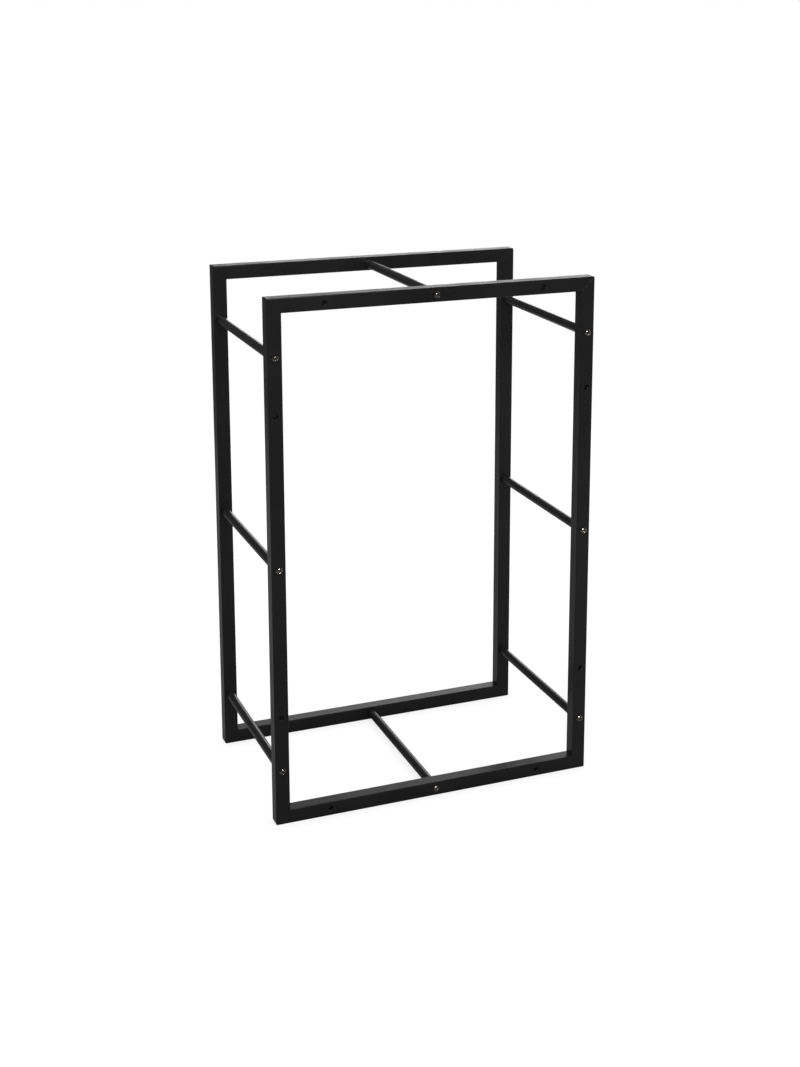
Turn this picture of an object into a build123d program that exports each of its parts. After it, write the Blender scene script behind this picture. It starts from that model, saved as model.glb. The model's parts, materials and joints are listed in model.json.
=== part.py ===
from build123d import *
import os

# A firewood rack: two upright frames of square steel tube, one in front of the other, held
# apart by eight round crossbars. A screw through the frame holds each end of each crossbar.
# Millimetres. X runs along the width, Z is up, and the front frame faces -Y.
# The origin is on the floor, under the middle of the rack.

# The rack, outside to outside of the frames
rack_width = 600.0
rack_height = 935.0
rack_depth = 370.0

# Square tube of the frames, mitred and welded, with the outer corners ground round
tube_side = 25.4
tube_wall = 1.5
tube_edge_radius = 1.5
extra_corner_radius = 0.5

# Round tube of the crossbars
crossbar_diameter = 16.0
crossbar_wall = 1.5

# Drilled places, each from the outer end of its tube
crossbar_from_upright_end = 100.0
spare_hole_from_upright_end = 200.0
spare_hole_from_rail_end = 100.0
spare_hole_diameter = 10.0

# Button-head screw with a hexagonal socket
screw_diameter = 8.0
screw_length = 40.0
head_diameter = 14.0
head_height = 4.4
head_flat_diameter = 6.8
head_bulge = 0.7
socket_across_flats = 5.0
socket_depth = 2.8
turn_between_screws = 25.0

# Threaded insert in each end of a crossbar
insert_length = 20.0

# Clearances on the radius
screw_hole_clearance = 0.25
thread_clearance = 0.05
insert_clearance = 0.05

# Middles of the tubes, and what they leave between them
upright_x = (rack_width - tube_side) / 2
bottom_rail_z = tube_side / 2
top_rail_z = rack_height - tube_side / 2
crossbar_length = rack_depth - 2 * tube_side
crossbar_bore_radius = crossbar_diameter / 2 - crossbar_wall

# The two frames by the way that their outer faces look along Y, and the corners of a frame
frames = {"front": -1, "rear": 1}
sides = {"left": -1, "right": 1}
levels = {"bottom": -1, "top": 1}

# Places of the eight crossbars as (x, z), each on the middle of its tube
crossbar_heights = {
    "top": rack_height - crossbar_from_upright_end,
    "middle": rack_height / 2,
    "bottom": crossbar_from_upright_end,
}
crossbar_places = {"top": (0, top_rail_z), "bottom": (0, bottom_rail_z)}
for side_name, side in sides.items():
    for height_name, height in crossbar_heights.items():
        crossbar_places[f"{side_name}_{height_name}"] = (side * upright_x, height)

# Places of the eight spare holes of a frame, also as (x, z)
spare_places = []
for side in sides.values():
    rail_hole_x = side * (rack_width / 2 - spare_hole_from_rail_end)
    spare_places.append((rail_hole_x, bottom_rail_z))
    spare_places.append((rail_hole_x, top_rail_z))
    spare_places.append((side * upright_x, spare_hole_from_upright_end))
    spare_places.append((side * upright_x, rack_height - spare_hole_from_upright_end))

os.makedirs("parts", exist_ok=True)


def save(piece, name):
    """Label a finished piece and write it."""
    piece.label = name
    export_step(piece, f"parts/{name}.step")


def outside_plane(outward, x, z):
    """Plane on the outer face of a frame at x and z, whose normal points away from the rack."""
    return Plane(origin=(x, outward * rack_depth / 2, z), x_dir=(1, 0, 0), z_dir=(0, outward, 0))


def mitre_plane(side, level):
    """Plane of the welded joint at one corner, whose normal points from the upright to the rail."""
    corner_z = rack_height * (1 + level) / 2
    return Plane(origin=(side * rack_width / 2, 0, corner_z), z_dir=(-side, 0, level))


def cut_from_frame(frame, mitres, kept_side):
    """The one tube of a frame that lies on the kept side of both its mitres."""
    with BuildPart() as tube:
        add(frame)
        for mitre in mitres:
            split(bisect_by=mitre, keep=kept_side)
    return tube.part


# The two frames, each shaped as a whole and then cut at its mitres into four tubes
for frame_name, outward in frames.items():
    face = outside_plane(outward, 0, rack_height / 2)

    with BuildPart() as hollow:
        with BuildSketch(face.offset(-tube_wall)):
            Rectangle(rack_width - 2 * tube_wall, rack_height - 2 * tube_wall)
            Rectangle(
                rack_width - 2 * (tube_side - tube_wall),
                rack_height - 2 * (tube_side - tube_wall),
                mode=Mode.SUBTRACT,
            )
        extrude(amount=2 * tube_wall - tube_side)

    with BuildPart() as frame:
        with BuildSketch(face):
            RectangleRounded(rack_width, rack_height, tube_edge_radius + extra_corner_radius)
            Rectangle(rack_width - 2 * tube_side, rack_height - 2 * tube_side, mode=Mode.SUBTRACT)
        extrude(amount=-tube_side)
        fillet(frame.faces().filter_by(Axis.Y).edges(), tube_edge_radius)
        add(hollow.part, mode=Mode.SUBTRACT)

        # A screw passes through both walls of its tube
        with Locations(*[outside_plane(outward, x, z) for x, z in crossbar_places.values()]):
            Hole(screw_diameter / 2 + screw_hole_clearance)

        # The spare holes go through the outer wall alone, so the drill stops inside the tube
        with Locations(*[outside_plane(outward, x, z) for x, z in spare_places]):
            Hole(spare_hole_diameter / 2, depth=tube_side / 2)

    for side_name, side in sides.items():
        mitres = [mitre_plane(side, level) for level in levels.values()]
        upright = cut_from_frame(frame.part, mitres, Keep.BOTTOM)
        save(upright, f"{frame_name}_{side_name}_upright")

    for level_name, level in levels.items():
        mitres = [mitre_plane(side, level) for side in sides.values()]
        rail = cut_from_frame(frame.part, mitres, Keep.TOP)
        save(rail, f"{frame_name}_{level_name}_rail")


# The eight crossbars, cut square and butted against both frames
for place_name, (x, z) in crossbar_places.items():
    with BuildPart() as crossbar:
        with BuildSketch(Plane(origin=(x, 0, z), x_dir=(1, 0, 0), z_dir=(0, 1, 0))):
            Circle(crossbar_diameter / 2)
            Circle(crossbar_bore_radius, mode=Mode.SUBTRACT)
        extrude(amount=crossbar_length / 2, both=True)
    save(crossbar.part, f"{place_name}_crossbar")


# One screw, pointing down, with the underside of its head at the height 0
with BuildPart() as screw:
    with BuildSketch(Plane.XZ):
        with BuildLine():
            Polyline(
                (0, head_height),
                (0, -screw_length),
                (screw_diameter / 2, -screw_length),
                (screw_diameter / 2, 0),
                (head_diameter / 2, 0),
            )
            SagittaArc(
                (head_diameter / 2, 0),
                (head_flat_diameter / 2, head_height),
                -head_bulge,
            )
            Line((head_flat_diameter / 2, head_height), (0, head_height))
        make_face()
    revolve(axis=Axis.Z)
    with BuildSketch(Plane.XY.offset(head_height)):
        RegularPolygon(socket_across_flats / 2, 6, major_radius=False)
    extrude(amount=-socket_depth, mode=Mode.SUBTRACT)


# One threaded insert, pointing down, with its mouth at the height 0
with BuildPart() as insert:
    with BuildSketch(Plane.XY.offset(-insert_length)):
        Circle(crossbar_bore_radius - insert_clearance)
        Circle(screw_diameter / 2 + thread_clearance, mode=Mode.SUBTRACT)
    extrude(amount=insert_length)


# Each end of each crossbar has a screw outside the frame, tightened to a turn of its own, and
# an insert whose mouth lies at the frame's inner face
for frame_name, outward in frames.items():
    with BuildPart() as screws:
        for number, (x, z) in enumerate(crossbar_places.values()):
            with Locations(outside_plane(outward, x, z)):
                add(screw.part, rotation=(0, 0, number * turn_between_screws))
    save(screws.part, f"{frame_name}_screws")

    with BuildPart() as inserts:
        for x, z in crossbar_places.values():
            with Locations(outside_plane(outward, x, z).offset(-tube_side)):
                add(insert.part)
    save(inserts.part, f"{frame_name}_threaded_inserts")
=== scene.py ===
import json
import math

import bpy
from mathutils import Matrix, Vector


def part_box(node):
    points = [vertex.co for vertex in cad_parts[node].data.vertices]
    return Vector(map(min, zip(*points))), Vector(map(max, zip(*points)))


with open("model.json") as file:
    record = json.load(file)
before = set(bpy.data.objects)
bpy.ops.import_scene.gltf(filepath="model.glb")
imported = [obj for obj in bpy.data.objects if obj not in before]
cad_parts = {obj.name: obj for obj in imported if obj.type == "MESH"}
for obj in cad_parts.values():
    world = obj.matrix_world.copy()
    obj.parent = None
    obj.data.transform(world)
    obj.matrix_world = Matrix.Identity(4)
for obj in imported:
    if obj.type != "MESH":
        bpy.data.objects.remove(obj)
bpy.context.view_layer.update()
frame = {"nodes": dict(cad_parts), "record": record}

# The photograph's size in pixels, and the camera that was fitted to the frames' straight edges
photo_width_px = 800
photo_height_px = 1067
focal_length_px = 1653.8
optical_axis_px = (452.4, 344.8)
camera_place = Vector((-1.0324, -2.7438, 1.4325))
camera_turn_right_deg = 22.52
camera_tilt_down_deg = 12.21
camera_roll_deg = 0.23
level_view_deg = 90.0
sensor_long_side_mm = 36.0

# The frames' square tube: where its middles lie, and how far from them its hollow reaches
upright_low, upright_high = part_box("rear_right_upright")
rail_low, rail_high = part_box("rear_top_rail")
upright_middle = (upright_low + upright_high) / 2
rail_middle = (rail_low + rail_high) / 2
rail_above_middle = rail_middle.z - upright_middle.z
tube_side = upright_high.x - upright_low.x
tube_wall = 0.0015
inside_margin = 0.0003
inside_half_width = tube_side / 2 - tube_wall + inside_margin

# Rounded edges, and how well two normals agree on the edge itself and on the flat beside it
edge_radius = 0.0005
screw_edge_radius = 0.0011
edge_samples = 6
agreement_on_edge = 0.8
agreement_on_flat = 0.99

# Black powder coat. Each pair is the least and the most of what varies over the surface.
coat_refraction = 1.28
frame_colors = ((0.009, 0.009, 0.009), (0.012, 0.012, 0.012))
frame_roughness = (0.27, 0.34)
crossbar_colors = ((0.01, 0.01, 0.01), (0.013, 0.013, 0.013))
crossbar_roughness = (0.25, 0.32)
drawn_along_crossbar = (1, 0.1, 1)
rubbed_color = (0.03, 0.03, 0.029)

# Bare steel inside the frames' tubes
bare_colors = ((0.17, 0.165, 0.16), (0.26, 0.253, 0.246))
bare_roughness = 0.9
bare_mirror_share = 0.1

# Black plating of the screws
plating_colors = ((0.15, 0.139, 0.13), (0.2, 0.186, 0.173))
plating_edge_color = (0.25, 0.235, 0.22)
plating_roughness = (0.07, 0.13)

# Zinc-plated steel of the threaded inserts
insert_colors = ((0.48, 0.48, 0.47), (0.62, 0.62, 0.6))
insert_edge_color = (0.7, 0.7, 0.68)
insert_roughness = (0.28, 0.42)

# The studio: an even light on every surface, white for the camera, and a backdrop that glossy
# and transmitted rays see as white at the back right and dim at the front left. Each edge is
# how well a ray agrees with the direction where that brightness begins.
plain_light = 1.15
white = 1.0
backdrop_dim = 0.1
backdrop_direction = Vector((0.82, 0.46, 0.34)).normalized()
backdrop_edge = 0.7
front_glow = 0.15
front_direction = Vector((-0.2, -0.96, -0.2)).normalized()
front_edge = 0.75
floor_half_side = 2.3
floor_shade = 0.28
floor_fill = 0.75
floor_bright_direction = Vector((0.97, 0.26, 0))
floor_bright_from = 0.0
floor_bright_to = 1.5


def new_material(name, slot_name):
    """An empty material with its principled shader, ready for the pieces of one material slot."""
    material = bpy.data.materials.new(name)
    material.use_nodes = True
    material["slot"] = slot_name
    return material, material.node_tree.nodes, material.node_tree.links


def feed(links, value, socket):
    """Links an output to a socket, or sets a plain number on it."""
    if isinstance(value, (int, float)):
        socket.default_value = value
    else:
        links.new(value, socket)


def math_node(nodes, links, operation, first, second=0.0):
    """The result of one sum on two values, either of which may be a number."""
    node = nodes.new("ShaderNodeMath")
    node.operation = operation
    feed(links, first, node.inputs[0])
    feed(links, second, node.inputs[1])
    return node.outputs["Value"]


def dot_node(nodes, links, first, second):
    """How far two directions agree. The second may be a fixed vector."""
    node = nodes.new("ShaderNodeVectorMath")
    node.operation = "DOT_PRODUCT"
    links.new(first, node.inputs[0])
    if isinstance(second, Vector):
        node.inputs[1].default_value = second
    else:
        links.new(second, node.inputs[1])
    return node.outputs["Value"]


def object_noise(nodes, links, scale, detail, stretch=(1, 1, 1)):
    """A noise texture fixed to the object, with its scale in cells per metre."""
    place = nodes.new("ShaderNodeTexCoord")
    mapping = nodes.new("ShaderNodeMapping")
    mapping.inputs["Scale"].default_value = stretch
    noise = nodes.new("ShaderNodeTexNoise")
    noise.inputs["Scale"].default_value = scale
    noise.inputs["Detail"].default_value = detail
    links.new(place.outputs["Object"], mapping.inputs["Vector"])
    links.new(mapping.outputs["Vector"], noise.inputs["Vector"])
    return noise.outputs["Fac"]


def map_range(nodes, links, value, low=0.0, high=1.0, from_low=0.3, from_high=0.7):
    """The value eased from one range to another. Left alone, it spreads a noise over 0 to 1."""
    stretch = nodes.new("ShaderNodeMapRange")
    stretch.interpolation_type = "SMOOTHSTEP"
    stretch.inputs["From Min"].default_value = from_low
    stretch.inputs["From Max"].default_value = from_high
    stretch.inputs["To Min"].default_value = low
    stretch.inputs["To Max"].default_value = high
    links.new(value, stretch.inputs["Value"])
    return stretch.outputs["Result"]


def blend_numbers(nodes, links, share, first, second):
    """A number between two, by the share of the second."""
    blend = nodes.new("ShaderNodeMix")
    feed(links, share, blend.inputs["Factor"])
    feed(links, first, blend.inputs["A"])
    feed(links, second, blend.inputs["B"])
    return blend.outputs["Result"]


def blend_colors(nodes, links, share, first, second):
    """A colour between two, by the share of the second. The first may be an output."""
    blend = nodes.new("ShaderNodeMix")
    blend.data_type = "RGBA"
    if isinstance(first, tuple):
        blend.inputs["A"].default_value = (*first, 1)
    else:
        links.new(first, blend.inputs["A"])
    blend.inputs["B"].default_value = (*second, 1)
    links.new(share, blend.inputs["Factor"])
    return blend.outputs["Result"]


def softened_edges(nodes, links, radius=edge_radius):
    """The normal rounded over the sharp edges, and a mask that is 1 on those edges."""
    rounded = nodes.new("ShaderNodeBevel")
    rounded.samples = edge_samples
    rounded.inputs["Radius"].default_value = radius
    surface = nodes.new("ShaderNodeNewGeometry")
    agreement = dot_node(nodes, links, rounded.outputs["Normal"], surface.outputs["Normal"])
    mask = map_range(nodes, links, agreement, 1, 0, agreement_on_edge, agreement_on_flat)
    return rounded.outputs["Normal"], mask


def bump(nodes, links, height, strength, depth, normal):
    """The normal bumped, with the depth of the relief in metres."""
    relief = nodes.new("ShaderNodeBump")
    relief.inputs["Strength"].default_value = strength
    relief.inputs["Distance"].default_value = depth
    links.new(height, relief.inputs["Height"])
    links.new(normal, relief.inputs["Normal"])
    return relief.outputs["Normal"]


def distance_past(nodes, links, value, middle):
    """How far out a value lies past a middle or its mirror image across 0. Nearer to 0 than the
    middle, this is a negative distance."""
    mirrored = math_node(nodes, links, "ABSOLUTE", value)
    return math_node(nodes, links, "SUBTRACT", mirrored, middle)


def inside_a_frame_tube(nodes, links):
    """1 within the hollow of the frames' tubes, and 0 on their outsides."""
    place = nodes.new("ShaderNodeTexCoord")
    parts = nodes.new("ShaderNodeSeparateXYZ")
    links.new(place.outputs["Object"], parts.inputs["Vector"])
    height = math_node(nodes, links, "SUBTRACT", parts.outputs["Z"], upright_middle.z)
    across = distance_past(nodes, links, parts.outputs["X"], upright_middle.x)
    upward = distance_past(nodes, links, height, rail_above_middle)
    around = math_node(nodes, links, "MAXIMUM", across, upward)
    around = math_node(nodes, links, "ABSOLUTE", around)
    deep = distance_past(nodes, links, parts.outputs["Y"], upright_middle.y)
    deep = math_node(nodes, links, "ABSOLUTE", deep)
    farthest = math_node(nodes, links, "MAXIMUM", around, deep)
    return math_node(nodes, links, "LESS_THAN", farthest, inside_half_width)


def powder_coat(name, slot_name, colors, roughness, stretch=(1, 1, 1)):
    """Satin black powder coat: fine orange peel, changes of shade and gloss, rubbed edges."""
    material, nodes, links = new_material(name, slot_name)
    shader = nodes["Principled BSDF"]
    shader.inputs["IOR"].default_value = coat_refraction
    rounded, edge = softened_edges(nodes, links)
    shade = map_range(nodes, links, object_noise(nodes, links, scale=9.0, detail=3.0, stretch=stretch))
    color = blend_colors(nodes, links, shade, *colors)
    rubbed = map_range(nodes, links, object_noise(nodes, links, scale=60.0, detail=4.0))
    rubbed = math_node(nodes, links, "MULTIPLY", edge, rubbed)
    color = blend_colors(nodes, links, rubbed, color, rubbed_color)
    cloud = object_noise(nodes, links, scale=22.0, detail=4.0, stretch=stretch)
    peel = object_noise(nodes, links, scale=850.0, detail=2.0)
    peeled = bump(nodes, links, peel, strength=0.35, depth=0.00006, normal=rounded)
    links.new(color, shader.inputs["Base Color"])
    links.new(map_range(nodes, links, cloud, *roughness), shader.inputs["Roughness"])
    links.new(peeled, shader.inputs["Normal"])
    return material


def leave_bare_inside(material):
    """Changes a frame's paint to dull bare steel within its tubes, where powder doesn't reach."""
    nodes, links = material.node_tree.nodes, material.node_tree.links
    bare = nodes.new("ShaderNodeBsdfPrincipled")
    bare.inputs["Roughness"].default_value = bare_roughness
    bare.inputs["Specular IOR Level"].default_value = bare_mirror_share
    mill_scale = map_range(nodes, links, object_noise(nodes, links, scale=180.0, detail=5.0))
    links.new(blend_colors(nodes, links, mill_scale, *bare_colors), bare.inputs["Base Color"])
    choice = nodes.new("ShaderNodeMixShader")
    links.new(inside_a_frame_tube(nodes, links), choice.inputs["Fac"])
    links.new(nodes["Principled BSDF"].outputs["BSDF"], choice.inputs[1])
    links.new(bare.outputs["BSDF"], choice.inputs[2])
    links.new(choice.outputs[0], nodes["Material Output"].inputs["Surface"])


def black_plating(name, slot_name):
    """Polished black plating of the screws, with fine marks from the tools."""
    material, nodes, links = new_material(name, slot_name)
    shader = nodes["Principled BSDF"]
    shader.inputs["Metallic"].default_value = 1.0
    rounded, edge = softened_edges(nodes, links, screw_edge_radius)
    tint = map_range(nodes, links, object_noise(nodes, links, scale=260.0, detail=3.0))
    color = blend_colors(nodes, links, tint, *plating_colors)
    color = blend_colors(nodes, links, edge, color, plating_edge_color)
    cloud = object_noise(nodes, links, scale=700.0, detail=3.0)
    marks = object_noise(nodes, links, scale=1400.0, detail=2.0)
    marked = bump(nodes, links, marks, strength=0.1, depth=0.00002, normal=rounded)
    links.new(color, shader.inputs["Base Color"])
    links.new(map_range(nodes, links, cloud, *plating_roughness), shader.inputs["Roughness"])
    links.new(marked, shader.inputs["Normal"])
    return material


def turned_steel(name, slot_name):
    """Zinc-plated turned steel of the inserts inside the crossbars."""
    material, nodes, links = new_material(name, slot_name)
    shader = nodes["Principled BSDF"]
    shader.inputs["Metallic"].default_value = 1.0
    rounded, edge = softened_edges(nodes, links)
    grain = object_noise(nodes, links, scale=500.0, detail=4.0)
    color = blend_colors(nodes, links, map_range(nodes, links, grain), *insert_colors)
    color = blend_colors(nodes, links, edge, color, insert_edge_color)
    grained = bump(nodes, links, grain, strength=0.3, depth=0.00005, normal=rounded)
    links.new(color, shader.inputs["Base Color"])
    links.new(map_range(nodes, links, grain, *insert_roughness), shader.inputs["Roughness"])
    links.new(grained, shader.inputs["Normal"])
    return material


def paint_nodes():
    """Gives every CAD node the material of its slot in the record."""
    frame_paint = powder_coat("frame_powder_coat", "frame_paint", frame_colors, frame_roughness)
    leave_bare_inside(frame_paint)
    materials = {
        "frame_paint": frame_paint,
        "crossbar_paint": powder_coat(
            "crossbar_powder_coat",
            "crossbar_paint",
            crossbar_colors,
            crossbar_roughness,
            drawn_along_crossbar,
        ),
        "screw_plating": black_plating("screw_black_plating", "screw_plating"),
        "insert_steel": turned_steel("insert_turned_steel", "insert_steel"),
    }
    for subpart in frame["record"]["subparts"]:
        node = frame["nodes"][subpart["node"]]
        node.data.materials.clear()
        node.data.materials.append(materials[subpart["material_slot"]])


def mirrored_ray(nodes, links, ray):
    """1 for a glossy or transmitted ray, and 0 for any other."""
    return math_node(
        nodes, links, "MAXIMUM", ray.outputs["Is Glossy Ray"], ray.outputs["Is Transmission Ray"]
    )


def floor_paper():
    """Grey paper that takes the shadow of the rack. For the camera it glows until it looks white,
    and towards the back right it does so for glossy and transmitted rays too."""
    material, nodes, links = new_material("floor_paper", "")
    nodes.remove(nodes["Principled BSDF"])
    paper = nodes.new("ShaderNodeBsdfDiffuse")
    paper.inputs["Color"].default_value = (floor_shade, floor_shade, floor_shade, 1)
    place = nodes.new("ShaderNodeTexCoord")
    distance = dot_node(nodes, links, place.outputs["Object"], floor_bright_direction)
    bright = map_range(nodes, links, distance, 0, 1, floor_bright_from, floor_bright_to)
    ray = nodes.new("ShaderNodeLightPath")
    mirrored = math_node(nodes, links, "MULTIPLY", mirrored_ray(nodes, links, ray), bright)
    seen = math_node(nodes, links, "MAXIMUM", ray.outputs["Is Camera Ray"], mirrored)
    fill = nodes.new("ShaderNodeEmission")
    links.new(math_node(nodes, links, "MULTIPLY", seen, floor_fill), fill.inputs["Strength"])
    both = nodes.new("ShaderNodeAddShader")
    links.new(paper.outputs[0], both.inputs[0])
    links.new(fill.outputs[0], both.inputs[1])
    links.new(both.outputs[0], nodes["Material Output"].inputs["Surface"])
    return material


def add_floor():
    """The square of paper that the rack stands on."""
    side = floor_half_side
    corners = [(-side, -side, 0), (side, -side, 0), (side, side, 0), (-side, side, 0)]
    mesh = bpy.data.meshes.new("floor")
    mesh.from_pydata(corners, [], [(0, 1, 2, 3)])
    mesh.materials.append(floor_paper())
    floor = bpy.data.objects.new("floor", mesh)
    bpy.context.scene.collection.objects.link(floor)


def light_world():
    """White for the camera, the graded backdrop for glossy and transmitted rays, and the even
    light for everything else."""
    world = bpy.data.worlds.new("studio")
    world.use_nodes = True
    bpy.context.scene.world = world
    nodes, links = world.node_tree.nodes, world.node_tree.links
    direction = nodes.new("ShaderNodeTexCoord").outputs["Generated"]
    back = dot_node(nodes, links, direction, backdrop_direction)
    back = map_range(nodes, links, back, backdrop_dim, white, backdrop_edge, 1)
    front = dot_node(nodes, links, direction, front_direction)
    front = map_range(nodes, links, front, 0, front_glow, front_edge, 1)
    backdrop = math_node(nodes, links, "ADD", back, front)
    ray = nodes.new("ShaderNodeLightPath")
    strength = blend_numbers(nodes, links, mirrored_ray(nodes, links, ray), plain_light, backdrop)
    strength = blend_numbers(nodes, links, ray.outputs["Is Camera Ray"], strength, white)
    links.new(strength, nodes["Background"].inputs["Strength"])
    nodes["Background"].inputs["Color"].default_value = (1, 1, 1, 1)


def add_softbox(name, turn_deg, height_deg, distance, width, height, power):
    """A rectangular studio lamp that only reflections show, pointing at the foot of the rack. Its
    turn is counted from straight behind the rack towards the rack's right."""
    light = bpy.data.lights.new(name, "AREA")
    light.shape = "RECTANGLE"
    light.size = width
    light.size_y = height
    light.energy = power
    lamp = bpy.data.objects.new(name, light)
    bpy.context.scene.collection.objects.link(lamp)
    turn = math.radians(turn_deg)
    rise = math.radians(height_deg)
    level = math.cos(rise)
    away = Vector((level * math.sin(turn), level * math.cos(turn), math.sin(rise)))
    lamp.location = away * distance
    lamp.rotation_euler = away.to_track_quat("Z", "Y").to_euler()
    lamp.visible_camera = False
    lamp.visible_diffuse = False


def add_camera():
    """The photograph's camera, with the shift that its off-centre framing needs."""
    data = bpy.data.cameras.new("camera")
    data.sensor_width = sensor_long_side_mm
    data.lens = focal_length_px * sensor_long_side_mm / photo_height_px
    data.shift_x = (photo_width_px / 2 - optical_axis_px[0]) / photo_height_px
    data.shift_y = (optical_axis_px[1] - photo_height_px / 2) / photo_height_px
    camera = bpy.data.objects.new("camera", data)
    bpy.context.scene.collection.objects.link(camera)
    turn = Matrix.Rotation(math.radians(-camera_turn_right_deg), 4, "Z")
    tilt = Matrix.Rotation(math.radians(level_view_deg - camera_tilt_down_deg), 4, "X")
    roll = Matrix.Rotation(math.radians(camera_roll_deg), 4, "Z")
    camera.matrix_world = Matrix.Translation(camera_place) @ turn @ tilt @ roll
    bpy.context.scene.camera = camera


paint_nodes()
add_floor()
light_world()
add_softbox("back_softbox", turn_deg=25.5, height_deg=16, distance=4, width=2.3, height=0.85, power=20)
add_softbox("side_softbox", turn_deg=61, height_deg=20, distance=4, width=1.9, height=1.9, power=12)
add_softbox("key_softbox", turn_deg=186, height_deg=48, distance=2.5, width=0.6, height=0.6, power=54)
add_camera()

bpy.context.scene.view_settings.view_transform = "Standard"
